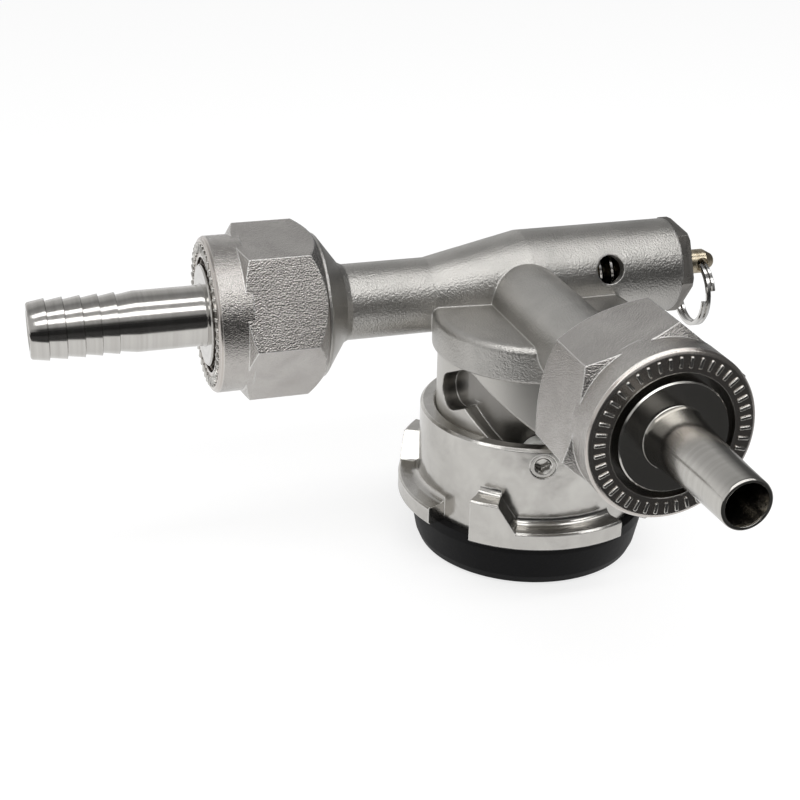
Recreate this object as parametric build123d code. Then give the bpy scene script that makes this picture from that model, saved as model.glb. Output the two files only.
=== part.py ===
from build123d import *
import math
import os

# Keg coupler, low twist type. Millimetres, +Z up.
# Origin: on the barrel axis, on the underside of the base seal.
# The gas arm runs along -X behind the axis, the beer arm along -Y through it.

# Shared small sizes
overlap = 1.0
edge_break = 0.3
slide_clearance = 0.06
ring_clearance = 0.03

# Barrel and hub of the body casting
barrel_r = 19.3
barrel_bottom_z = 15.0
hub_overhang = 1.2
hub_r = barrel_r + hub_overhang
hub_bottom_z = 42.3
hub_top_z = 49.5
hub_top_round = 1.5
hub_bottom_round = 0.55
chamber_wall = 7.8
chamber_r = barrel_r - chamber_wall
chamber_top_z = 38.0

# Base collar, which locks into the keg neck
collar_wall = 3.14
collar_bore_r = barrel_r + slide_clearance
collar_r = collar_bore_r + collar_wall
collar_bottom_z = 10.1
collar_top_z = 29.75
rim_round = 0.5
spigot_wall = 2.04
spigot_r = collar_bore_r + spigot_wall
spigot_bottom_z = 2.4
bead_z = 6.0
bead_depth = 0.5
bead_height = 1.6

# Bayonet lugs
lug_count = 4
lug_reach = 4.2
lug_r = collar_r + lug_reach
lug_low_z = 13.9
lug_high_z = 19.3
lug_cove = 1.5
lug_edge = 0.5
lug_top_edge = 0.35
lug_cut_turn = 4.0
lug_start = -46.4
lug_step_start = -34.3
lug_step_end = -26.5
lug_end = 22.0
lug_nose_start = -35.9
lug_spacing = 360 / lug_count

# Rubber ring under the collar
seal_wall = 2.6
seal_r = spigot_r + seal_wall
seal_taper = 1.1
seal_bottom_r = seal_r - seal_taper
seal_edge = 2.2
seal_foot = 0.66
seal_bore_r = 15.5

# Cam screws, rollers and the slots that they run in
cam_count = 2
cam_angle = -15.5
cam_z = 26.3
cam_pitch = 89.2
cam_turn = 48.0
slot_width = 7.5
slot_depth = 3.5
pocket_turn = 14.4
pocket_drop = 2.4
roller_clearance = 0.15
screw_r = 2.5
screw_nose_r = 1.9
screw_recess = 0.3
screw_end_gap = 0.3
screw_fit = 0.05
screw_socket = 2.6
screw_socket_depth = 2.0
screw_sink_r = 1.75

# Barrel O-ring
barrel_ring_z = 18.2
barrel_ring_width = 2.4
barrel_ring_depth = 1.9
ring_corner = 0.3

# Arms
arm_z = 49.5
arm_offset = 13.65
pipe_r = 7.57
pipe_bore_r = 4.2
flare_r = 14.25
flare_length = 5.4
flare_rim = 0.8
flare_foot = 0.6
flare_foot_length = 1.2
nose_r = 12.9
nose_chamfer = 0.6
nose_bore_r = 8.6
gas_nose_bore = 10.0
gas_reach = 63.4
beer_reach = 59.0

# Union nuts
nut_across_flats = 30.0
nut_length = 21.2
nut_collar_r = 15.2
nut_corner_back = 2.6
nut_corner_front = 6.9
nut_front_bevel = 1.3
nut_back_gap = 0.2
nut_edge = 0.8
nut_lip = 3.6
nut_hole_r = 11.2
nut_fit = 0.08
nut_sink = 0.6
gas_nut_turned = 23.7
beer_nut_turned = -9.4

# Tailpieces and washers
washer_thickness = 1.5
washer_bore_r = 5.0
flange_r = 12.4
flange_thickness = 2.6
boss_r = 9.9
boss_recess = 1.0
tail_bore_r = 3.6
tail_foot = 0.9
tail_foot_length = 1.0
gas_tube_r = 5.9
gas_tail_length = 33.4
barb_count = 6
barb_pitch = 3.7
barb_root_r = 5.1
barb_lead = 2.6
barb_step = 0.15
beer_tube_r = 4.4
beer_base_r = 5.6
beer_tail_length = 24.1
beer_base_length = 5.0
beer_step = 3.0
beer_tube_bore_r = 3.6
tube_round = 0.5

# Probe
probe_r = 7.0
probe_bore_r = 4.0
probe_bottom_z = 4.2
probe_top_z = 45.0
probe_flange_r = 9.2
probe_flange_z = 34.5
probe_fit = 0.04
probe_ring_z = 41.0
probe_ring_width = 2.0
probe_ring_depth = 1.3
tip_seal_r = 8.6
tip_seal_height = 4.0
tip_neck_r = 5.8
tip_lip = 1.4
tip_round = 1.2
probe_chamfer = 0.8
port_r = 2.0
port_y = 9.4

# Relief valve
relief_z = 51.5
relief_r = 9.7
relief_end_x = 33.8
taper_start_x = -18.8
taper_end_x = 1.0
relief_bore_r = 7.6
relief_seat_x = 8.0
relief_orifice_r = 3.0
vent_x = 17.6
vent_r = 2.95
vent_lift = 20.0
plug_across_flats = 17.2
plug_head = 2.6
plug_shank = 5.0
plug_fit = 0.04
plug_chamfer = 0.5
plug_turned = 6.0
stem_r = 2.55
stem_fit = 0.08
stem_tip_x = 45.2
stem_cone = 2.2
stem_tip_r = 1.2
poppet_r = 6.2
poppet_thickness = 2.0
relief_seal_r = 5.6
relief_seal_thickness = 1.2
spring_wire = 1.1
spring_r = 5.2
spring_turns = 6.5
wire_sides = 8

# Split ring in the stem
ring_hole_x = 42.0
ring_hole_r = 1.45
ring_mean_r = 6.9
ring_wire = 1.0
ring_pitch = 1.04
ring_turns = 1.95
ring_start = -90.0
ring_corner_cut = 0.25

# Check valves
ball_r = 4.6
ball_travel = 2.5
cage_fit = 0.05
ball_room = 0.35
cage_web = 1.4
cage_hole_r = 3.2
cage_notches = 3
cage_notch_r = 0.8
duckbill_flange = 1.6
duckbill_neck_r = 6.0
duckbill_wall = 2.0
duckbill_length = 7.5
duckbill_lip = 1.2
duckbill_slit = 0.3

gas_arm = Plane(origin=(0, arm_offset, arm_z), x_dir=(0, 0, 1), z_dir=(-1, 0, 0))
beer_arm = Plane(origin=(0, 0, arm_z), x_dir=(0, 0, 1), z_dir=(0, -1, 0))
relief_line = Plane(origin=(0, arm_offset, relief_z), x_dir=(0, 0, 1), z_dir=(1, 0, 0))
nose_end = nut_lip + nut_fit + flange_thickness + washer_thickness
ball_sunk = math.sqrt(ball_r ** 2 - pipe_bore_r ** 2)
ball_stop = math.sqrt(ball_r ** 2 - cage_hole_r ** 2)
beer_nose_bore = ball_sunk + ball_travel + ball_stop + cage_web + 4 * ring_clearance


def turned(*points):
    """A solid of revolution about Z from a closed outline of (radius, height) points."""
    outline = Polyline(*points, close=True)
    return revolve(make_face(Plane.XZ * outline), Axis.Z)


def rod(radius, start, end):
    """A cylinder on the Z axis between two heights."""
    return Pos(0, 0, start) * Cylinder(radius, end - start, align=(Align.CENTER, Align.CENTER, Align.MIN))


def pipe(outer, inner, start, end):
    """A tube on the Z axis between two heights."""
    return rod(outer, start, end) - rod(inner, start - 1, end + 1)


def radial(part, angle, height):
    """Turns a part that lies along +X to an angle measured from -Y towards +X."""
    return Pos(0, 0, height) * Rot(0, 0, angle - 90) * part


def sector(outline, start, end):
    """A closed line in (radius, height), swept about Z between two angles."""
    face = make_face(Plane.XZ * outline)
    return Rot(0, 0, start - 90) * revolve(face, Axis.Z, revolution_arc=end - start)


def wedge(radius, corners):
    """A radial prism over corners given as (angle, height) at one radius."""
    middle = sum(angle for angle, height in corners) / len(corners)
    points = []
    for angle, height in corners:
        points.append((radius * math.sin(math.radians(angle - middle)), height))
    face = make_face(Plane.YZ * Polyline(*points, close=True))
    return Rot(0, 0, middle - 90) * extrude(face, amount=radius * 1.3)


# ---- base ----

def lug_outline(top):
    """The section of a lug: a flat ledge that meets the collar in a cove."""
    root = collar_r - overlap
    bend = lug_cove * (1 - math.sqrt(0.5))
    cove_start = (collar_r + lug_cove, top)
    cove_end = (collar_r, top + lug_cove)
    line = Polyline(cove_end, (root, top + lug_cove), (root, collar_bottom_z),
                    (lug_r - lug_edge, collar_bottom_z), (lug_r, collar_bottom_z + lug_edge),
                    (lug_r, top - lug_top_edge), (lug_r - lug_top_edge, top), cove_start)
    return line + ThreePointArc(cove_start, (collar_r + bend, top + bend), cove_end)


def lug():
    above = lug_high_z + 2 * lug_cove
    below = collar_bottom_z - overlap
    part = sector(lug_outline(lug_high_z), lug_start, lug_step_end)
    part -= wedge(lug_r, [(lug_step_start, lug_high_z), (lug_step_end, lug_low_z),
                          (lug_step_end + lug_cut_turn, above), (lug_step_start, above)])
    part -= wedge(lug_r, [(lug_start, lug_high_z), (lug_nose_start, collar_bottom_z),
                          (lug_nose_start, below), (lug_start - lug_cut_turn, below)])
    return part + sector(lug_outline(lug_low_z), lug_step_end, lug_end)


def base_collar():
    body = turned((0, spigot_bottom_z), (spigot_r, spigot_bottom_z), (spigot_r, collar_bottom_z),
                  (collar_r, collar_bottom_z), (collar_r, collar_top_z - rim_round),
                  (collar_r - rim_round, collar_top_z), (0, collar_top_z))
    for i in range(lug_count):
        body += Rot(0, 0, i * lug_spacing) * lug()
    body -= pipe(spigot_r + overlap, spigot_r - bead_depth, bead_z - bead_height / 2,
                 bead_z + bead_height / 2)
    body -= rod(collar_bore_r, spigot_bottom_z - overlap, collar_top_z + overlap)
    inside = collar_bore_r - overlap
    body -= turned((inside, collar_top_z - rim_round - overlap),
                   (collar_bore_r + rim_round + overlap, collar_top_z + overlap),
                   (inside, collar_top_z + overlap))
    hole = Rot(0, 90, 0) * rod(screw_r + ring_clearance, barrel_r - slot_depth, lug_r)
    for i in range(cam_count):
        body -= radial(hole, cam_angle + i * 360 / cam_count, cam_z)
    return body


def base_seal():
    fit = ring_clearance
    groove_z = collar_bottom_z - fit
    inner = spigot_r + fit
    part = turned((seal_bore_r, 0), (seal_bottom_r - seal_edge, 0), (seal_bottom_r - seal_foot, seal_foot),
                  (seal_bottom_r, seal_edge), (seal_r, collar_bottom_z - seal_edge), (seal_r, groove_z),
                  (inner, groove_z), (inner, spigot_bottom_z - fit), (seal_bore_r, spigot_bottom_z - fit))
    bead = pipe(spigot_r + overlap, spigot_r - bead_depth + fit, bead_z - bead_height / 2 + fit,
                bead_z + bead_height / 2 - fit)
    return part + bead


def cam_screw():
    face = collar_r - screw_recess
    sink = screw_sink_r - screw_socket / 2
    shank = rod(screw_r, barrel_r - screw_fit, face)
    nose = rod(screw_nose_r, barrel_r - slot_depth + screw_end_gap, barrel_r)
    socket = Pos(0, 0, face) * extrude(
        RegularPolygon(screw_socket / 2, 6, major_radius=False), amount=screw_socket_depth, both=True)
    countersink = turned((0, face - sink), (screw_socket / 2, face - sink),
                         (screw_sink_r + overlap, face + overlap), (0, face + overlap))
    return Rot(0, 90, 0) * (shank + nose - socket - countersink)


def cam_roller():
    outer = slot_width / 2 - roller_clearance
    end = math.sqrt(barrel_r ** 2 - outer ** 2) - roller_clearance
    start = barrel_r - slot_depth + roller_clearance
    return Rot(0, 90, 0) * pipe(outer, screw_nose_r + ring_clearance, start, end)


# ---- body ----

def cam_slot():
    """A helix up from the screw's place, then a short straight run down into the locking pocket."""
    rise = cam_pitch * cam_turn / 360
    inner = barrel_r - slot_depth
    outer = barrel_r + overlap
    middle = (inner + outer) / 2
    path = Helix(cam_pitch, rise, middle, lefthand=True)
    face = Plane(path @ 0, x_dir=(1, 0, 0), z_dir=path % 0) * Rectangle(outer - inner, slot_width)
    round_end = Rot(0, 90, 0) * rod(slot_width / 2, inner, outer)
    part = sweep(face, path=path, is_frenet=True) + round_end
    part += Rot(0, 0, -cam_turn) * Pos(0, 0, rise) * round_end
    part += Rot(0, 0, -cam_turn - pocket_turn) * Pos(0, 0, rise - pocket_drop) * round_end
    across = barrel_r * math.radians(pocket_turn)
    lean = math.degrees(math.atan2(pocket_drop, across))
    run = Box(outer - inner, math.hypot(across, pocket_drop), slot_width)
    run = Pos(middle, 0, rise - pocket_drop / 2) * Rot(lean, 0, 0) * run
    part += Rot(0, 0, -cam_turn - pocket_turn / 2) * run
    part = Rot(0, 0, cam_angle - 90) * Pos(0, 0, cam_z) * part
    return part - rod(hub_r * 2, hub_bottom_z, hub_bottom_z + slot_width)


def arm_end(reach):
    """The flare and the threaded nose at the end of one arm, along +Z from the body axis."""
    rim = reach - nut_length - nut_back_gap
    end = reach - nose_end
    start = rim - flare_rim - flare_length
    return turned((0, start - overlap), (pipe_r, start - overlap), (pipe_r, start),
                  (pipe_r + flare_foot, start + flare_foot_length), (flare_r - edge_break, rim - flare_rim),
                  (flare_r, rim - flare_rim + edge_break), (flare_r, rim), (nose_r, rim),
                  (nose_r, end - nose_chamfer), (nose_r - nose_chamfer, end), (0, end))


def arm_cut(reach, inner_end, nose_bore):
    end = reach - nose_end
    return rod(pipe_bore_r, inner_end, end + overlap) + rod(nose_bore_r, end - nose_bore, end + overlap)


def relief_housing():
    taper = loft([Plane.YZ.offset(taper_start_x) * Pos(arm_offset, arm_z) * Circle(pipe_r),
                  Plane.YZ.offset(taper_end_x) * Pos(arm_offset, relief_z) * Circle(relief_r)])
    straight = relief_line * rod(relief_r, taper_end_x, relief_end_x)
    return taper + straight


def body_casting():
    hub = rod(hub_r, hub_bottom_z, hub_top_z)
    hub = fillet(hub.edges().sort_by(Axis.Z)[-1], hub_top_round)
    hub = fillet(hub.edges().sort_by(Axis.Z)[0], hub_bottom_round)
    body = rod(barrel_r, barrel_bottom_z, hub_bottom_z + overlap) + hub
    body += gas_arm * rod(pipe_r, -taper_start_x - overlap, gas_reach - nut_length - flare_length)
    body += relief_housing()
    body += beer_arm * rod(pipe_r, -arm_offset, beer_reach - nut_length - flare_length)
    body += gas_arm * arm_end(gas_reach)
    body += beer_arm * arm_end(beer_reach)
    # passages
    body -= rod(chamber_r, barrel_bottom_z - overlap, chamber_top_z)
    body -= rod(probe_r + probe_fit, chamber_top_z - overlap, probe_top_z + probe_fit)
    body -= rod(probe_bore_r, probe_top_z - overlap, arm_z)
    body -= beer_arm * arm_cut(beer_reach, -probe_bore_r, beer_nose_bore)
    body -= gas_arm * arm_cut(gas_reach, -relief_seat_x + 2 * overlap, gas_nose_bore)
    body -= Pos(0, port_y, 0) * rod(port_r, chamber_top_z - overlap, arm_z)
    body -= relief_line * rod(relief_orifice_r, relief_seat_x - 4 * overlap, relief_seat_x + overlap)
    body -= relief_line * rod(relief_bore_r, relief_seat_x, relief_end_x + overlap)
    vent = Rot(90 - vent_lift, 0, 0) * rod(vent_r, 0, relief_r + overlap)
    body -= Pos(vent_x, arm_offset, relief_z) * vent
    # running features
    for i in range(cam_count):
        body -= Rot(0, 0, i * 360 / cam_count) * cam_slot()
    body -= pipe(barrel_r + overlap, barrel_r - barrel_ring_depth, barrel_ring_z - barrel_ring_width / 2,
                 barrel_ring_z + barrel_ring_width / 2)
    return body


def o_ring(outer, inner, width, height):
    """A ring as it sits squeezed in its groove, with its corners taken off."""
    corner = min(outer - inner, width) * ring_corner
    low = height - width / 2
    high = height + width / 2
    return turned((inner, low + corner), (inner + corner, low), (outer - corner, low),
                  (outer, low + corner), (outer, high - corner), (outer - corner, high),
                  (inner + corner, high), (inner, high - corner))


def barrel_o_ring():
    return o_ring(barrel_r + slide_clearance - ring_clearance, barrel_r - barrel_ring_depth + ring_clearance,
                  barrel_ring_width - 2 * ring_clearance, barrel_ring_z)


def probe():
    neck_top = probe_bottom_z + tip_lip + tip_seal_height
    body = turned((probe_bore_r, probe_bottom_z), (probe_r - probe_chamfer, probe_bottom_z),
                  (probe_r, probe_bottom_z + probe_chamfer), (probe_r, probe_bottom_z + tip_lip),
                  (tip_neck_r, probe_bottom_z + tip_lip), (tip_neck_r, neck_top), (probe_r, neck_top),
                  (probe_r, probe_flange_z), (probe_flange_r, probe_flange_z + probe_chamfer),
                  (probe_flange_r, chamber_top_z - ring_clearance), (probe_r, chamber_top_z - ring_clearance),
                  (probe_r, probe_top_z), (probe_bore_r, probe_top_z))
    return body - pipe(probe_r + overlap, probe_r - probe_ring_depth, probe_ring_z - probe_ring_width / 2,
                       probe_ring_z + probe_ring_width / 2)


def probe_o_ring():
    return o_ring(probe_r + probe_fit - ring_clearance / 2, probe_r - probe_ring_depth + ring_clearance,
                  probe_ring_width - 2 * ring_clearance, probe_ring_z)


def probe_tip_seal():
    low = probe_bottom_z + tip_lip + ring_clearance
    high = low + tip_seal_height - 2 * ring_clearance
    inner = tip_neck_r + ring_clearance
    return turned((inner, low), (tip_seal_r - tip_round, low), (tip_seal_r, low + tip_round),
                  (tip_seal_r, high - edge_break), (tip_seal_r - edge_break, high), (inner, high))


# ---- unions, built along +Z with the nut's outer end at zero ----

def union_nut():
    corner_r = nut_across_flats / math.sqrt(3)
    low = -nut_length
    flat_r = nut_across_flats / 2
    shoulder = -nut_corner_front + nut_front_bevel
    hexagon = Pos(0, 0, low) * extrude(RegularPolygon(corner_r, 6), amount=nut_length + shoulder)
    turned_limit = turned((0, low), (flat_r - edge_break, low), (corner_r, low + nut_corner_back),
                          (corner_r, -nut_corner_front), (nut_collar_r, shoulder),
                          (nut_collar_r, -nut_edge), (nut_collar_r - edge_break, -edge_break),
                          (nut_collar_r - nut_edge, 0), (0, 0))
    collar = rod(nut_collar_r, shoulder - nut_front_bevel, 0)
    body = (hexagon + collar) & turned_limit
    body -= rod(nose_r + nut_fit, low - overlap, -nut_lip)
    body -= rod(nut_hole_r, -nut_lip - overlap, overlap)
    mouth = nose_r + nut_fit
    return body - turned((0, low - overlap), (mouth + nut_sink + overlap, low - overlap),
                         (mouth, low + nut_sink), (0, low + nut_sink))


def washer():
    high = -nut_lip - nut_fit - flange_thickness
    return pipe(flange_r, washer_bore_r, high - washer_thickness, high)


def tail_root(bore_r, tube_r):
    """The outline shared by both tails, from the flange behind the nut's lip to the foot of the tube."""
    top = -nut_lip - nut_fit
    return [(bore_r, top - flange_thickness), (flange_r, top - flange_thickness), (flange_r, top),
            (boss_r, top), (boss_r, -boss_recess - edge_break), (boss_r - edge_break, -boss_recess),
            (tube_r + tail_foot, -boss_recess), (tube_r + edge_break, -boss_recess + edge_break),
            (tube_r, -boss_recess + tail_foot_length)]


def gas_tailpiece():
    tip = gas_tail_length
    barbs_start = tip - barb_count * barb_pitch
    points = tail_root(tail_bore_r, gas_tube_r)
    points += [(gas_tube_r, barbs_start - barb_lead), (barb_root_r + barb_step, barbs_start)]
    for i in range(barb_count):
        at = barbs_start + i * barb_pitch
        points += [(gas_tube_r, at), (barb_root_r + barb_step, at + barb_pitch)]
    points += [(tail_bore_r, tip)]
    return turned(*points)


def beer_tailpiece():
    tip = beer_tail_length
    step = beer_base_length
    points = tail_root(beer_tube_bore_r, beer_base_r)
    points += [(beer_base_r, step), (beer_tube_r, step + beer_step), (beer_tube_r, tip - tube_round),
               (beer_tube_r - edge_break / 2, tip - edge_break / 2), (beer_tube_r - tube_round, tip),
               (beer_tube_bore_r, tip)]
    return turned(*points)


def gas_check_valve():
    """A rubber duckbill: a flange in the counterbore and two lips that close towards the body."""
    top = -nose_end - ring_clearance
    start = top - duckbill_flange - overlap
    end = Plane.XY.offset(start - duckbill_length)
    inner_r = duckbill_neck_r - duckbill_wall
    flange = pipe(nose_bore_r - cage_fit, inner_r, top - duckbill_flange, top)
    neck = pipe(duckbill_neck_r, inner_r, start, top - duckbill_flange)
    skin = loft([Plane.XY.offset(start) * Circle(duckbill_neck_r),
                 end * Rectangle(duckbill_neck_r + duckbill_wall + duckbill_slit, duckbill_lip * 2)])
    hollow = loft([Plane.XY.offset(start) * Circle(inner_r), end * Rectangle(duckbill_neck_r, duckbill_slit)])
    return flange + neck + (skin - hollow)


def ball_cage():
    """A sleeve behind the washer, with a holed web that stops the ball and lets the beer past."""
    outer = nose_bore_r - cage_fit
    inner = ball_r + ball_room
    top = -nose_end - ring_clearance
    bottom = -nose_end - beer_nose_bore + ring_clearance
    part = pipe(outer, inner, bottom, top - cage_web)
    web = pipe(outer, cage_hole_r, top - cage_web, top)
    notch = rod(cage_notch_r, top - cage_web - overlap, top + overlap)
    notch = Pos(cage_hole_r + cage_notch_r / 2, 0, 0) * notch
    for i in range(cage_notches):
        web -= Rot(0, 0, 360 / cage_notches * i) * notch
    return part + web


def ball_seat():
    """Height of the ball's centre when it rests in the mouth of the arm's bore."""
    return -nose_end - beer_nose_bore + ball_sunk + ring_clearance


def check_ball():
    return Pos(0, 0, ball_seat()) * Sphere(ball_r)


# ---- relief valve, built along +Z from the body axis ----

def relief_plug():
    corner_r = plug_across_flats / math.sqrt(3)
    end = relief_end_x + plug_head
    head = Pos(0, 0, relief_end_x) * extrude(
        RegularPolygon(corner_r, 6, rotation=plug_turned + 30), amount=plug_head)
    limit = turned((0, relief_end_x), (corner_r, relief_end_x), (corner_r, end - plug_chamfer),
                   (corner_r - plug_chamfer, end), (0, end))
    shank = rod(relief_bore_r - plug_fit, relief_end_x - plug_shank, relief_end_x)
    return (head & limit) + shank - rod(stem_r + stem_fit, 0, end + overlap)


def relief_stem():
    back = relief_seat_x + relief_seal_thickness + ring_clearance
    cone = stem_tip_x - stem_cone
    part = turned((0, back), (poppet_r, back), (poppet_r, back + poppet_thickness),
                  (stem_r, back + poppet_thickness), (stem_r, cone),
                  (stem_tip_r + edge_break, stem_tip_x - edge_break), (stem_tip_r, stem_tip_x), (0, stem_tip_x))
    cross = Pos(0, 0, ring_hole_x) * Rot(90, 0, 0) * rod(ring_hole_r, -stem_r - overlap, stem_r + overlap)
    return part - cross


def relief_seal():
    return rod(relief_seal_r, relief_seat_x + ring_clearance, relief_seat_x + relief_seal_thickness)


def relief_spring():
    start = relief_seat_x + relief_seal_thickness + poppet_thickness + 2 * ring_clearance + spring_wire / 2
    end = relief_end_x - plug_shank - ring_clearance - spring_wire / 2
    pitch = (end - start) / spring_turns
    path = Pos(0, 0, start) * Helix(pitch, end - start, spring_r)
    section = Plane(path @ 0, z_dir=path % 0) * RegularPolygon(spring_wire / 2, wire_sides)
    return sweep(section, path=path, is_frenet=True)


def split_ring():
    """A two-turn ring that hangs across the stem, with both of its turns centred in the cross hole."""
    height = ring_pitch * ring_turns
    path = Helix(ring_pitch, height, ring_mean_r)
    square = Rectangle(ring_wire, ring_wire)
    section = Plane(path @ 0, z_dir=path % 0) * chamfer(square.vertices(), ring_corner_cut)
    coil = sweep(section, path=path, is_frenet=True)
    turn_at_hole = (180 - ring_start) / 360 % 1
    middle = ring_pitch * (turn_at_hole + 0.5)
    top = ring_mean_r + ring_wire / 2
    low_inner = math.sqrt((ring_mean_r - ring_wire / 2) ** 2 - stem_r ** 2)
    hung = Rot(0, 90, 0) * Rot(0, 0, ring_start) * Pos(0, 0, -middle) * coil
    return Pos(ring_hole_x, arm_offset, relief_z - (top + low_inner) / 2) * hung


# ---- the parts ----

def at_cams(part):
    return [radial(part, cam_angle + i * 360 / cam_count, cam_z) for i in range(cam_count)]


gas_union = gas_arm * Pos(0, 0, gas_reach)
beer_union = beer_arm * Pos(0, 0, beer_reach)
nut = union_nut()

parts = {
    "base_collar": base_collar(),
    "base_seal": base_seal(),
    "cam_screws": at_cams(cam_screw()),
    "cam_rollers": at_cams(cam_roller()),
    "barrel_o_ring": barrel_o_ring(),
    "body_casting": body_casting(),
    "probe": probe(),
    "probe_o_ring": probe_o_ring(),
    "probe_tip_seal": probe_tip_seal(),
    "gas_nut": gas_union * Rot(0, 0, gas_nut_turned) * nut,
    "gas_tailpiece": gas_union * gas_tailpiece(),
    "gas_washer": gas_union * washer(),
    "gas_check_valve": gas_union * gas_check_valve(),
    "beer_nut": beer_union * Rot(0, 0, beer_nut_turned) * nut,
    "beer_tailpiece": beer_union * beer_tailpiece(),
    "beer_washer": beer_union * washer(),
    "ball_cage": beer_union * ball_cage(),
    "beer_check_ball": beer_union * check_ball(),
    "relief_plug": relief_line * relief_plug(),
    "relief_stem": relief_line * relief_stem(),
    "relief_seal": relief_line * relief_seal(),
    "relief_spring": relief_line * relief_spring(),
    "relief_ring": split_ring(),
}

os.makedirs("parts", exist_ok=True)
for name, part in parts.items():
    solid = Compound(children=list(part)) if isinstance(part, list) else part
    export_step(solid, f"parts/{name}.step")
    print(name, round(solid.volume, 1))
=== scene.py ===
import math

import bpy
from mathutils import Matrix, Vector


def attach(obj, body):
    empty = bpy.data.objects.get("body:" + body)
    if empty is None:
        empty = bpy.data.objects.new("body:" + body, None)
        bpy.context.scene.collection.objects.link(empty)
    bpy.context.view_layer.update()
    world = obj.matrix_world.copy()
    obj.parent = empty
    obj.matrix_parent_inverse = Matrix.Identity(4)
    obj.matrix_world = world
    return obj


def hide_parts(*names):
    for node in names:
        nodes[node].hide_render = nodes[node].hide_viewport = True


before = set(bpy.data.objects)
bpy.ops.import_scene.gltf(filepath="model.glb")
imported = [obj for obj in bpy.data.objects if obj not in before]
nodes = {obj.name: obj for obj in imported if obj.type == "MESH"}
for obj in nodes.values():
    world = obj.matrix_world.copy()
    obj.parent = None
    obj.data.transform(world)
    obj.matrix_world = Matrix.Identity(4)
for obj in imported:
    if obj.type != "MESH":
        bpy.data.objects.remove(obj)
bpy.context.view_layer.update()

# Keg coupler, in metres, standing on its base ring on a white table.

print("frame loaded:", len(nodes), "nodes")


# camera

cameraSetup = {
    "azimuth": -17.613,     # degrees round from straight in front
    "elevation": 24.517,    # degrees above the table
    "distance": 0.309351,
    "right": -0.026591,     # sideways and upward moves in the picture's plane
    "up": 0.026777,
    "roll": 1.125,
    "lens": 65.961,
    "sensor": 36.0,
}


def makeCamera(setup):
    azimuth = math.radians(setup["azimuth"])
    elevation = math.radians(setup["elevation"])
    roll = math.radians(setup["roll"])
    back = Vector((math.sin(azimuth) * math.cos(elevation),
                   -math.cos(azimuth) * math.cos(elevation),
                   math.sin(elevation)))
    right = Vector((math.cos(azimuth), math.sin(azimuth), 0))
    up = back.cross(right)
    place = back * setup["distance"] + right * setup["right"] + up * setup["up"]
    rolledRight = right * math.cos(roll) + up * math.sin(roll)
    rolledUp = up * math.cos(roll) - right * math.sin(roll)
    data = bpy.data.cameras.new("camera")
    data.sensor_width = setup["sensor"]
    data.lens = setup["lens"]
    data.clip_start = 0.01
    data.clip_end = 20
    camera = bpy.data.objects.new("camera", data)
    bpy.context.scene.collection.objects.link(camera)
    turned = Matrix((rolledRight, rolledUp, back)).transposed().to_4x4()
    camera.matrix_world = Matrix.Translation(place) @ turned
    bpy.context.scene.camera = camera


makeCamera(cameraSetup)
bpy.context.scene.view_settings.view_transform = "Standard"
print("camera placed")


# node helpers

def connect(tree, node, inputs):
    for key, value in inputs.items():
        if isinstance(value, bpy.types.NodeSocket):
            tree.links.new(value, node.inputs[key])
        else:
            node.inputs[key].default_value = value


def addNode(tree, kind, inputs=None, **settings):
    node = tree.nodes.new(kind)
    for key, value in settings.items():
        setattr(node, key, value)
    connect(tree, node, inputs or {})
    return node


def calc(tree, operation, first, second=0.0):
    return addNode(tree, "ShaderNodeMath", {0: first, 1: second}, operation=operation).outputs[0]


def remap(tree, value, fromLow, fromHigh, toLow=0.0, toHigh=1.0):
    return addNode(tree, "ShaderNodeMapRange",
                   {0: value, 1: fromLow, 2: fromHigh, 3: toLow, 4: toHigh}).outputs[0]


def blendColour(tree, factor, first, second):
    node = addNode(tree, "ShaderNodeMix", data_type="RGBA")
    connect(tree, node, {0: factor, 6: first, 7: second})
    return node.outputs[2]


def colourRamp(tree, value, stops):
    node = addNode(tree, "ShaderNodeValToRGB", {0: value})
    elements = node.color_ramp.elements
    while len(elements) < len(stops):
        elements.new(0.5)
    for i, (at, shade) in enumerate(stops):
        elements[i].position = at
        elements[i].color = (shade, shade, shade, 1)
    return node.outputs[0]


def newGroup(name, inputs, outputs):
    group = bpy.data.node_groups.new(name, "ShaderNodeTree")
    for label, kind, value in inputs:
        socket = group.interface.new_socket(label, in_out="INPUT", socket_type=kind)
        if value is not None:
            socket.default_value = value
    for label, kind in outputs:
        group.interface.new_socket(label, in_out="OUTPUT", socket_type=kind)
    start = group.nodes.new("NodeGroupInput")
    end = group.nodes.new("NodeGroupOutput")
    return group, start.outputs, end


def placeGroup(tree, group, inputs):
    node = tree.nodes.new("ShaderNodeGroup")
    node.node_tree = group
    connect(tree, node, inputs)
    return node.outputs


# effects that several finishes share

def makeBlastGrain():
    # the pitted skin of blasted or cast metal: small cells over finer noise
    group, given, end = newGroup(
        "blastGrain",
        [("Vector", "NodeSocketVector", None), ("Cell", "NodeSocketFloat", 0.0004)],
        [("Height", "NodeSocketFloat"), ("Specks", "NodeSocketFloat")])
    scale = calc(group, "DIVIDE", 1.0, given["Cell"])
    fine = calc(group, "MULTIPLY", scale, 2.3)
    cells = addNode(group, "ShaderNodeTexVoronoi", {"Vector": given["Vector"], "Scale": scale, "Smoothness": 0.6},
                    feature="SMOOTH_F1")
    noise = addNode(group, "ShaderNodeTexNoise", {"Vector": given["Vector"], "Scale": fine, "Detail": 2.0})
    coarse = addNode(group, "ShaderNodeTexNoise", {"Vector": given["Vector"], "Scale": scale, "Detail": 1.0})
    height = calc(group, "ADD", calc(group, "MULTIPLY", cells.outputs["Distance"], 0.5),
                  calc(group, "MULTIPLY", noise.outputs[0], 0.5))
    height = calc(group, "ADD", height, calc(group, "MULTIPLY", coarse.outputs[0], 0.6))
    specks = remap(group, noise.outputs[0], 0.35, 0.7)
    connect(group, end, {"Height": height, "Specks": specks})
    return group


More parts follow.
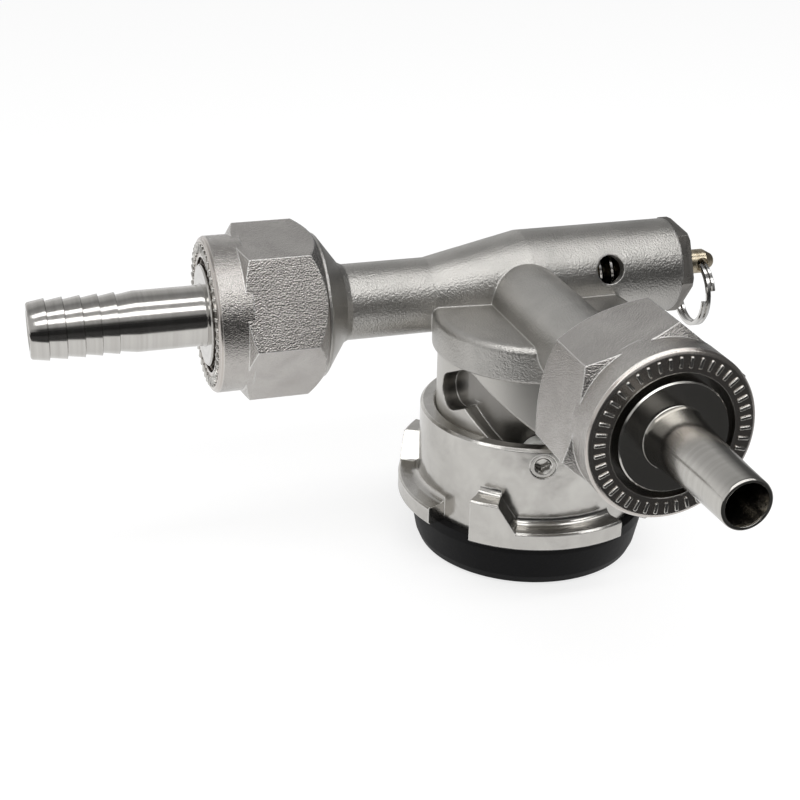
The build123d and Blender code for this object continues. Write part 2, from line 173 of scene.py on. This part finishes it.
def makeLatheMarks():
    # fine turned grooves round the local X axis, with broader bands between them
    group, given, end = newGroup(
        "latheMarks",
        [("Vector", "NodeSocketVector", None), ("Pitch", "NodeSocketFloat", 0.0001)],
        [("Height", "NodeSocketFloat"), ("Bands", "NodeSocketFloat")])
    parts = addNode(group, "ShaderNodeSeparateXYZ", {0: given["Vector"]}).outputs
    across = calc(group, "SQRT", calc(group, "ADD", calc(group, "POWER", parts[1], 2.0),
                                      calc(group, "POWER", parts[2], 2.0)))
    flat = addNode(group, "ShaderNodeCombineXYZ", {0: parts[0], 1: across}).outputs[0]
    scale = calc(group, "DIVIDE", 1.0, given["Pitch"])
    grooves = addNode(group, "ShaderNodeTexNoise", {"Vector": flat, "Scale": scale, "Detail": 2.0},
                      noise_dimensions="2D")
    bands = addNode(group, "ShaderNodeTexNoise", {"Vector": flat, "Scale": calc(group, "MULTIPLY", scale, 0.13)},
                    noise_dimensions="2D")
    connect(group, end, {"Height": grooves.outputs[0], "Bands": bands.outputs[0]})
    return group


def makeHandling():
    # slow changes of shade and polish from handling and wiping
    group, given, end = newGroup(
        "handling",
        [("Vector", "NodeSocketVector", None), ("Size", "NodeSocketFloat", 0.008)],
        [("Cloud", "NodeSocketFloat"), ("Ripple", "NodeSocketFloat")])
    scale = calc(group, "DIVIDE", 1.0, given["Size"])
    cloud = addNode(group, "ShaderNodeTexNoise",
                    {"Vector": given["Vector"], "Scale": scale, "Detail": 4.0, "Roughness": 0.6, "Distortion": 0.4})
    ripple = addNode(group, "ShaderNodeTexNoise",
                     {"Vector": given["Vector"], "Scale": calc(group, "MULTIPLY", scale, 2.7), "Detail": 1.0})
    connect(group, end, {"Cloud": remap(group, cloud.outputs[0], 0.3, 0.7), "Ripple": ripple.outputs[0]})
    return group


def makeEdgeMask():
    # 1 along sharp edges, where the finishes paint edge highlights and groove shade, and 0 on the faces
    group, given, end = newGroup(
        "edgeMask", [("Width", "NodeSocketFloat", 0.0003)], [("Mask", "NodeSocketFloat")])
    softened = addNode(group, "ShaderNodeBevel", {"Radius": given["Width"]}, samples=4)
    geometry = addNode(group, "ShaderNodeNewGeometry")
    agree = addNode(group, "ShaderNodeVectorMath", {0: softened.outputs[0], 1: geometry.outputs["Normal"]},
                    operation="DOT_PRODUCT").outputs["Value"]
    connect(group, end, {"Mask": remap(group, agree, 0.995, 0.85)})
    return group


blastGrain = makeBlastGrain()
latheMarks = makeLatheMarks()
handling = makeHandling()
edgeMask = makeEdgeMask()
print("shared effects built")


# finishes

def startFinish(name):
    material = bpy.data.materials.new(name)
    material.use_nodes = True
    tree = material.node_tree
    shader = tree.nodes["Principled BSDF"]
    place = tree.nodes.new("ShaderNodeTexCoord").outputs["Object"]
    return material, tree, shader, place


gasAxis = (0, 0.01365, 0.0495)
beerAxis = (0, 0, 0.0495)
reliefAxis = (0, 0.01365, 0.0515)
barrelAxis = (0, 0, 0)


def alongAxis(tree, place, axis, centre):
    # the same place, with the turning axis as its X
    moved = addNode(tree, "ShaderNodeVectorMath", {0: place, 1: centre}, operation="SUBTRACT").outputs[0]
    parts = addNode(tree, "ShaderNodeSeparateXYZ", {0: moved}).outputs
    order = {"X": (0, 1, 2), "Y": (1, 2, 0), "Z": (2, 0, 1)}[axis]
    return addNode(tree, "ShaderNodeCombineXYZ", {i: parts[j] for i, j in enumerate(order)}).outputs[0]


def pastPlane(tree, place, axis, centre, start, end):
    # 0 before the first plane across the axis, and 1 past the second
    turned = alongAxis(tree, place, axis, centre)
    return remap(tree, addNode(tree, "ShaderNodeSeparateXYZ", {0: turned}).outputs[0], start, end)


castFinish = {
    "light": (0.54, 0.525, 0.50, 1),
    "dark": (0.43, 0.42, 0.40, 1),
    # edge: painted highlight along sharp edges
    "edge": (0.72, 0.71, 0.68, 1),
    "machined": (0.55, 0.535, 0.505, 1),
    "cell": 0.0004,
    "depth": 0.0001,
    "rough": (0.30, 0.42),
    "bevel": 0.0005,
    "cloud": 0.009,
    "glintWidth": 0.0004,
    # where the casting is turned smooth: below the hub
    "smooth": ("Z", barrelAxis, 0.0425, 0.0422),
    # and painted darker in its cam slots, inside the barrel's wall, as painted shade
    "slots": (0.01895, 0.01790),
    "paintedSlotShade": (0.27, 0.26, 0.245, 1),
}
nutFinish = {
    "light": (0.54, 0.52, 0.495, 1),
    "dark": (0.43, 0.41, 0.39, 1),
    # edge: painted highlight along sharp edges
    "edge": (0.85, 0.84, 0.82, 1),
    "machined": (0.56, 0.52, 0.485, 1),
    "cell": 0.0003,
    "depth": 0.00011,
    "rough": (0.18, 0.26),
    "bevel": 0.0004,
    "cloud": 0.009,
    "glintWidth": 0.0004,
}
gasNutFinish = {**nutFinish, "smooth": ("X", gasAxis, -0.0624, -0.0627)}
beerNutFinish = {**nutFinish, "smooth": ("Y", beerAxis, -0.0580, -0.0583)}


turnedGrain = 0.06     # the share of the grain that is left where the metal is turned


def castMetal(name, look):
    # grainy as it was cast and blasted, and plain where it has been turned
    material, tree, shader, place = startFinish(name)
    grain = placeGroup(tree, blastGrain, {"Vector": place, "Cell": look["cell"]})
    wiped = placeGroup(tree, handling, {"Vector": place, "Size": look["cloud"]})
    edgeGlint = placeGroup(tree, edgeMask, {"Width": look["glintWidth"]})
    turned = pastPlane(tree, place, *look["smooth"])
    body = blendColour(tree, wiped["Cloud"], look["dark"], look["light"])
    body = blendColour(tree, turned, body, look["machined"])
    # painted shade: the cam slots, inside the barrel's wall, are darkened in the colour
    if "slots" in look:
        parts = addNode(tree, "ShaderNodeSeparateXYZ", {0: place}).outputs
        flat = addNode(tree, "ShaderNodeCombineXYZ", {0: parts[0], 1: parts[1]}).outputs[0]
        reach = addNode(tree, "ShaderNodeVectorMath", {0: flat}, operation="LENGTH").outputs["Value"]
        slotShadeMask = calc(tree, "MULTIPLY", turned, remap(tree, reach, *look["slots"]))
        body = blendColour(tree, slotShadeMask, body, look["paintedSlotShade"])
    # painted highlight: sharp edges made lighter in the colour
    body = blendColour(tree, edgeGlint["Mask"], body, look["edge"])
    softened = addNode(tree, "ShaderNodeBevel", {"Radius": look["bevel"]}, samples=6)
    height = calc(tree, "MULTIPLY", grain["Height"], remap(tree, turned, 0, 1, 1, turnedGrain))
    bumped = addNode(tree, "ShaderNodeBump",
                     {"Height": height, "Distance": look["depth"], "Strength": 1.0,
                      "Normal": softened.outputs[0]})
    low, high = look["rough"]
    connect(tree, shader, {"Base Color": body, "Metallic": 1.0,
                           "Roughness": remap(tree, grain["Specks"], 0, 1, low, high),
                           "Normal": bumped.outputs[0]})
    return material


platedFinish = {
    "light": (0.60, 0.585, 0.555, 1),
    "dark": (0.49, 0.475, 0.45, 1),
    # edge: painted highlight along sharp edges
    "edge": (0.86, 0.85, 0.82, 1),
    "rough": (0.15, 0.25),
    "ripple": 0.00006,
    "cell": 0.0009,
    "grain": 0.12,
    "bevel": 0.0003,
    "cloud": 0.007,
    "glintWidth": 0.00035,
}


def platedMetal(name, look):
    # bright plate over a casting that was only lightly polished, so it ripples a little
    material, tree, shader, place = startFinish(name)
    wiped = placeGroup(tree, handling, {"Vector": place, "Size": look["cloud"]})
    grain = placeGroup(tree, blastGrain, {"Vector": place, "Cell": look["cell"]})
    edgeGlint = placeGroup(tree, edgeMask, {"Width": look["glintWidth"]})
    body = blendColour(tree, wiped["Cloud"], look["dark"], look["light"])
    # painted highlight: sharp edges made lighter in the colour
    body = blendColour(tree, edgeGlint["Mask"], body, look["edge"])
    softened = addNode(tree, "ShaderNodeBevel", {"Radius": look["bevel"]}, samples=6)
    height = calc(tree, "ADD", wiped["Ripple"], calc(tree, "MULTIPLY", grain["Height"], look["grain"]))
    bumped = addNode(tree, "ShaderNodeBump", {"Height": height, "Distance": look["ripple"], "Strength": 1.0,
                                              "Normal": softened.outputs[0]})
    low, high = look["rough"]
    connect(tree, shader, {"Base Color": body, "Metallic": 1.0,
                           "Roughness": remap(tree, wiped["Cloud"], 0, 1, high, low),
                           "Normal": bumped.outputs[0]})
    return material


# the colour along sharp edges: painted shade of thin grooves on the plain turned parts, painted highlight on the
# others
turnedFinish = {"light": (0.57, 0.555, 0.53, 1), "dark": (0.51, 0.495, 0.47, 1), "line": (0.12, 0.115, 0.11, 1),
                "rough": (0.11, 0.17), "pitch": 0.00012, "depth": 0.000004}
polishedFinish = {"light": (0.56, 0.545, 0.515, 1), "dark": (0.52, 0.505, 0.475, 1),
                  "line": (0.8, 0.79, 0.76, 1), "rough": (0.13, 0.19), "pitch": 0.00012, "depth": 0.000002}
wireFinish = {"light": (0.70, 0.69, 0.67, 1), "dark": (0.62, 0.61, 0.59, 1),
              "line": (0.7, 0.69, 0.67, 1), "rough": (0.10, 0.2), "pitch": 0.0002, "depth": 0.000002}
darkTurnedFinish = {"light": (0.30, 0.285, 0.265, 1), "dark": (0.22, 0.21, 0.195, 1),
                    "line": (0.5, 0.49, 0.47, 1), "rough": (0.24, 0.34), "pitch": 0.00012, "depth": 0.00001}
stemFinish = {"light": (0.66, 0.58, 0.44, 1), "dark": (0.46, 0.39, 0.28, 1),
              "line": (0.7, 0.64, 0.52, 1), "rough": (0.22, 0.36), "pitch": 0.00012, "depth": 0.00002}


def turnedMetal(name, look, axis, centre):
    material, tree, shader, place = startFinish(name)
    marks = placeGroup(tree, latheMarks, {"Vector": alongAxis(tree, place, axis, centre), "Pitch": look["pitch"]})
    wiped = placeGroup(tree, handling, {"Vector": place, "Size": 0.005})
    streak = remap(tree, marks["Bands"], 0.3, 0.7)
    body = blendColour(tree, streak, look["dark"], look["light"])
    edges = placeGroup(tree, edgeMask, {"Width": 0.00016})
    # painted shade and painted highlight along sharp edges, by finish
    body = blendColour(tree, edges["Mask"], body, look["line"])
    low, high = look["rough"]
    softened = addNode(tree, "ShaderNodeBevel", {"Radius": 0.00006}, samples=4)
    bumped = addNode(tree, "ShaderNodeBump", {"Height": marks["Height"], "Distance": look["depth"],
                                              "Strength": 1.0, "Normal": softened.outputs[0]})
    connect(tree, shader, {"Base Color": body, "Metallic": 1.0,
                           "Roughness": remap(tree, wiped["Cloud"], 0, 1, low, high),
                           "Normal": bumped.outputs[0]})
    return material


def polymer(name, colour, low, high, shine=0.5, cell=0.0005, depth=0.00003):
    material, tree, shader, place = startFinish(name)
    grain = placeGroup(tree, blastGrain, {"Vector": place, "Cell": cell})
    wiped = placeGroup(tree, handling, {"Vector": place, "Size": 0.01})
    lighter = tuple(min(1, channel * 1.25 + 0.004) for channel in colour)
    body = blendColour(tree, wiped["Cloud"], (*colour, 1), (*lighter, 1))
    softened = addNode(tree, "ShaderNodeBevel", {"Radius": 0.0003}, samples=4)
    bumped = addNode(tree, "ShaderNodeBump", {"Height": grain["Height"], "Distance": depth, "Strength": 1.0,
                                              "Normal": softened.outputs[0]})
    connect(tree, shader, {"Base Color": body, "Roughness": remap(tree, wiped["Cloud"], 0, 1, low, high),
                           "Normal": bumped.outputs[0]})
    shader.inputs["Specular IOR Level"].default_value = shine
    return material


castSteel = castMetal("castSteel", castFinish)
gasNutSteel = castMetal("gasNutSteel", gasNutFinish)
beerNutSteel = castMetal("beerNutSteel", beerNutFinish)
platedCollar = platedMetal("platedCollar", platedFinish)
gasTurned = turnedMetal("gasTurned", turnedFinish, "X", gasAxis)
beerTurned = turnedMetal("beerTurned", polishedFinish, "Y", beerAxis)
probeTurned = turnedMetal("probeTurned", turnedFinish, "Z", barrelAxis)
capSteel = turnedMetal("capSteel", darkTurnedFinish, "X", reliefAxis)
stemMetal = turnedMetal("stemMetal", stemFinish, "X", reliefAxis)
springSteel = turnedMetal("springSteel", wireFinish, "X", reliefAxis)
blackRubber = polymer("blackRubber", (0.003, 0.003, 0.0035), 0.42, 0.55, shine=0.12)
greyRubber = polymer("greyRubber", (0.10, 0.10, 0.10), 0.5, 0.6)
whiteAcetal = polymer("whiteAcetal", (0.78, 0.78, 0.74), 0.35, 0.45)

nodeFinish = {
    "base_collar": platedCollar, "base_seal": blackRubber, "cam_screws": platedCollar, "cam_rollers": whiteAcetal,
    "barrel_o_ring": blackRubber, "body_casting": castSteel, "probe": probeTurned, "probe_o_ring": blackRubber,
    "probe_tip_seal": greyRubber, "gas_nut": gasNutSteel, "gas_tailpiece": gasTurned, "gas_washer": greyRubber,
    "gas_check_valve": blackRubber, "beer_nut": beerNutSteel, "beer_tailpiece": beerTurned, "beer_washer": greyRubber,
    "ball_cage": whiteAcetal, "beer_check_ball": probeTurned, "relief_plug": capSteel, "relief_stem": stemMetal,
    "relief_seal": greyRubber, "relief_spring": springSteel, "relief_ring": springSteel,
}
for name, node in nodes.items():
    node.data.materials.clear()
    node.data.materials.append(nodeFinish[name])
print("finishes given to the nodes")


# tails, modelled in place of plainer shapes, and the raised marks on the nuts

mm = 0.001
joinedWithin = 0.001 * mm
tailSteps = 96
smoothUpTo = math.radians(35)
axisNumber = {"X": 0, "Y": 1}
outwards = {"X": Vector((-1, 0, 0)), "Y": Vector((0, -1, 0))}
upwards = Vector((0, 0, 1))


def startPiece(name, addShape):
    bpy.ops.object.select_all(action="DESELECT")
    addShape(size=1)
    piece = bpy.context.object
    piece.name = name
    bpy.ops.object.mode_set(mode="EDIT")
    bpy.ops.mesh.select_mode(type="VERT")
    bpy.ops.mesh.select_all(action="SELECT")
    return piece


def closePiece(piece, material, body):
    # join the seams, turn the faces outwards and hand the piece to its body
    bpy.ops.mesh.select_all(action="SELECT")
    bpy.ops.mesh.remove_doubles(threshold=joinedWithin)
    bpy.ops.mesh.normals_make_consistent(inside=False)
    bpy.ops.object.mode_set(mode="OBJECT")
    bpy.ops.object.shade_smooth_by_angle(angle=smoothUpTo)
    piece.data.materials.append(material)
    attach(piece, body)


# outlines in millimetres: (outwards from the nut's end face, radius)
tailRoot = [(-6.28, 3.6), (-6.28, 12.4), (-3.68, 12.4), (-3.68, 9.9), (0.25, 9.9), (0.5, 9.65)]
gasTail = {
    "name": "gasTail", "node": "gas_tailpiece", "body": "gas_tail", "axis": "X", "face": -63.4,
    "outline": tailRoot + [(0.5, 6.12), (0.7, 5.98), (1.4, 5.9), (13.6, 5.9)],
    # at each step the tube falls to the root and starts again from the crest
    "steps": [17.0, 20.2, 23.4, 26.7, 30.0],
    "root": 5.38, "crest": 5.92, "tip": [(33.1, 5.42), (33.4, 5.15), (33.4, 3.9), (33.1, 3.6)],
}
beerTail = {
    "name": "beerTail", "node": "beer_tailpiece", "body": "beer_tail", "axis": "Y", "face": -59.0,
    "outline": tailRoot + [(0.5, 5.72), (0.68, 5.6), (1.6, 5.48), (5.0, 5.2), (9.0, 4.92), (13.0, 4.7),
                           (18.0, 4.5), (23.5, 4.4)],
    "steps": [],    # no barbs
    "tip": [(23.85, 4.33), (24.05, 4.15), (24.1, 3.95), (24.0, 3.72), (23.7, 3.6)],
}


def faceCentre(look, centre):
    # where the turning axis crosses the nut's end face
    place = Vector(centre)
    place[axisNumber[look["axis"]]] = look["face"] * mm
    return place


def makeTail(look, centre, material):
    # one outline drawn point by point, then spun round the tube's axis
    outline = list(look["outline"])
    for step in look["steps"]:
        outline += [(step, look["root"]), (step, look["crest"])]
    outline += look["tip"]
    along = outwards[look["axis"]]
    start = faceCentre(look, centre)
    points = [start + along * out * mm + upwards * radius * mm for out, radius in outline]
    piece = startPiece(look["name"], bpy.ops.mesh.primitive_plane_add)
    bpy.ops.mesh.merge(type="CENTER")
    bpy.ops.transform.translate(value=points[0])
    for before, after in zip(points, points[1:] + points[:1]):
        bpy.ops.mesh.extrude_vertices_move(TRANSFORM_OT_translate={"value": after - before})
    bpy.ops.mesh.select_all(action="SELECT")
    bpy.ops.mesh.remove_doubles(threshold=joinedWithin)
    bpy.ops.mesh.spin(steps=tailSteps, angle=2 * math.pi, center=start, axis=along)
    closePiece(piece, material, look["body"])
    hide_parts(look["node"])


makeTail(gasTail, gasAxis, gasTurned)
makeTail(beerTail, beerAxis, beerTurned)

gasMarks = {"name": "gasNutMarks", "body": "gas_nut", "axis": "X", "face": -63.4}
beerMarks = {"name": "beerNutMarks", "body": "beer_nut", "axis": "Y", "face": -59.0}
markShape = {"count": 44, "inner": 12.0, "outer": 14.1, "width": 0.74, "sunk": 0.3, "height": 0.36,
             "round": 0.28, "roundSteps": 3}


def makeMarks(look, shape, centre, material):
    # raised radial bars round the nut's end face: one modelled, the others copied round
    along = outwards[look["axis"]]
    start = faceCentre(look, centre)
    across = along.cross(upwards)
    length = shape["outer"] - shape["inner"]
    depth = shape["sunk"] + shape["height"]
    size = [abs(along[i]) * depth + abs(across[i]) * shape["width"] + upwards[i] * length for i in range(3)]
    middle = (start + upwards * (shape["inner"] + length / 2) * mm
              + along * (shape["height"] - shape["sunk"]) / 2 * mm)
    piece = startPiece(look["name"], bpy.ops.mesh.primitive_cube_add)
    bpy.ops.transform.resize(value=[side * mm for side in size])
    bpy.ops.transform.translate(value=middle)
    bpy.ops.mesh.bevel(offset=shape["round"] * mm, segments=shape["roundSteps"])
    bpy.ops.mesh.select_all(action="SELECT")
    bpy.ops.mesh.spin(steps=shape["count"], dupli=True, angle=2 * math.pi, center=start, axis=along)
    closePiece(piece, material, look["body"])


makeMarks(gasMarks, markShape, gasAxis, platedCollar)
makeMarks(beerMarks, markShape, beerAxis, platedCollar)
print("tails and nut marks modelled")


# the studio: table, lamps, black flag and room

studio = {
    "tableSize": 3.0,
    "tableShade": 0.34,
    "tableGlow": 0.74,      # what the camera sees of it
    "tableShine": 0.64,     # and what the metal sees
    "flagNear": -0.078,     # front edge of the white the metal sees
    "flagFar": -0.75,
    "flagLift": 0.0006,
    "flagLean": -0.05,
    "flagShade": 0.03,
    "rightFade": (0.03, 0.09, 1.0, 0.12),   # the metal's view of the table darkens to the right
    "leftWall": 0.8,
    "leftTurn": (-0.55, -0.95),             # how far to the side the room turns into a wall
    "rightWall": 0.1,
    "rightTurn": (0.2, 0.6),
    "flagTop": 0.26,
    "roomDiffuse": 0.55,
}
lamps = {
    # name: (direction up from the front in degrees, distance, length, width, power)
    "frontStrip": (50, 0.62, 1.1, 0.16, 1.6),
    "topStrip": (84, 0.62, 1.1, 0.16, 1.45),
}
lampAim = Vector((-0.02, 0, 0.05))
# how bright the metal sees the room: 0 is the horizon in front, 0.5 overhead and 1 the horizon behind
roomBands = [(0.0, 0.04), (0.12, 0.06), (0.16, 0.45), (0.36, 0.5), (0.55, 0.35), (0.65, 0.28), (0.73, 0.48),
             (0.83, 0.6), (0.92, 0.8), (1.0, 0.97)]


def makeTable(setup):
    bpy.ops.mesh.primitive_plane_add(size=setup["tableSize"])
    table = bpy.context.object
    table.name = "table"
    material = bpy.data.materials.new("tableTop")
    material.use_nodes = True
    tree = material.node_tree
    tree.nodes.clear()
    rays = tree.nodes.new("ShaderNodeLightPath").outputs
    mirrored = calc(tree, "MAXIMUM", rays["Is Glossy Ray"], rays["Is Transmission Ray"])
    place = tree.nodes.new("ShaderNodeTexCoord").outputs["Object"]
    across = addNode(tree, "ShaderNodeSeparateXYZ", {0: place}).outputs[0]
    mirrored = calc(tree, "MULTIPLY", mirrored, remap(tree, across, *setup["rightFade"]))
    shown = calc(tree, "ADD", calc(tree, "MULTIPLY", rays["Is Camera Ray"], setup["tableGlow"]),
                 calc(tree, "MULTIPLY", mirrored, setup["tableShine"]))
    shade = setup["tableShade"]
    matt = addNode(tree, "ShaderNodeBsdfDiffuse", {"Color": (shade, shade, shade, 1)})
    glow = addNode(tree, "ShaderNodeEmission", {"Color": (1, 1, 1, 1), "Strength": shown})
    both = addNode(tree, "ShaderNodeAddShader", {0: matt.outputs[0], 1: glow.outputs[0]})
    out = tree.nodes.new("ShaderNodeOutputMaterial")
    tree.links.new(both.outputs[0], out.inputs["Surface"])
    table.data.materials.append(material)


def makeFlag(setup):
    # the dark end of the room, which only the metal's reflections see
    bpy.ops.mesh.primitive_plane_add(size=1)
    flag = bpy.context.object
    flag.name = "flag"
    width = setup["tableSize"] / 2
    near, far, lift = setup["flagNear"], setup["flagFar"], setup["flagLift"]
    for vertex in flag.data.vertices:
        vertex.co = (math.copysign(width, vertex.co.x), near if vertex.co.y > 0 else far, lift)
    bpy.ops.object.mode_set(mode="EDIT")
    bpy.ops.mesh.select_all(action="DESELECT")
    bpy.ops.object.mode_set(mode="OBJECT")
    for edge in flag.data.edges:
        edge.select = all(flag.data.vertices[i].co.y < (near + far) / 2 for i in edge.vertices)
    bpy.ops.object.mode_set(mode="EDIT")
    bpy.ops.mesh.select_mode(type="EDGE")
    bpy.ops.mesh.extrude_region_move(TRANSFORM_OT_translate={"value": (0, setup["flagLean"], setup["flagTop"])})
    bpy.ops.object.mode_set(mode="OBJECT")
    material = bpy.data.materials.new("flagCloth")
    material.use_nodes = True
    shader = material.node_tree.nodes["Principled BSDF"]
    shade = setup["flagShade"]
    shader.inputs["Base Color"].default_value = (shade, shade, shade, 1)
    shader.inputs["Roughness"].default_value = 1.0
    flag.data.materials.append(material)
    flag.visible_camera = False
    flag.visible_diffuse = False
    flag.visible_shadow = False


def makeLamps(setup):
    for name, (angle, distance, length, width, power) in setup.items():
        data = bpy.data.lights.new(name, "AREA")
        data.shape = "RECTANGLE"
        data.size = length
        data.size_y = width
        data.energy = power
        lamp = bpy.data.objects.new(name, data)
        bpy.context.scene.collection.objects.link(lamp)
        turn = math.radians(angle)
        away = Vector((0, -math.cos(turn), math.sin(turn)))
        lamp.location = lampAim + away * distance
        lamp.rotation_mode = "QUATERNION"
        lamp.rotation_quaternion = Matrix((Vector((1, 0, 0)), away.cross(Vector((1, 0, 0))), away)
                                          ).transposed().to_quaternion()


def makeRoom(setup):
    world = bpy.data.worlds.new("room")
    bpy.context.scene.world = world
    world.use_nodes = True
    tree = world.node_tree
    tree.nodes.clear()
    rays = tree.nodes.new("ShaderNodeLightPath").outputs
    direction = tree.nodes.new("ShaderNodeTexCoord").outputs["Generated"]
    parts = addNode(tree, "ShaderNodeSeparateXYZ", {0: direction}).outputs
    turn = calc(tree, "DIVIDE", calc(tree, "ARCTAN2", parts[2], calc(tree, "MULTIPLY", parts[1], -1.0)), math.pi)
    band = colourRamp(tree, turn, roomBands)
    left, right = ((setup[side],) * 3 + (1,) for side in ("leftWall", "rightWall"))
    seen = blendColour(tree, remap(tree, parts[0], *setup["leftTurn"]), band, left)
    seen = blendColour(tree, remap(tree, parts[0], *setup["rightTurn"]), seen, right)
    glossy = calc(tree, "MAXIMUM", rays["Is Glossy Ray"], rays["Is Transmission Ray"])
    soft = setup["roomDiffuse"]
    colour = blendColour(tree, glossy, (soft, soft, soft, 1), seen)
    colour = blendColour(tree, rays["Is Camera Ray"], colour, (1, 1, 1, 1))
    background = addNode(tree, "ShaderNodeBackground", {"Color": colour, "Strength": 1.0})
    out = tree.nodes.new("ShaderNodeOutputWorld")
    tree.links.new(background.outputs[0], out.inputs["Surface"])


bpy.ops.object.select_all(action="DESELECT")
makeTable(studio)
makeFlag(studio)
makeLamps(lamps)
makeRoom(studio)
print("studio lit")
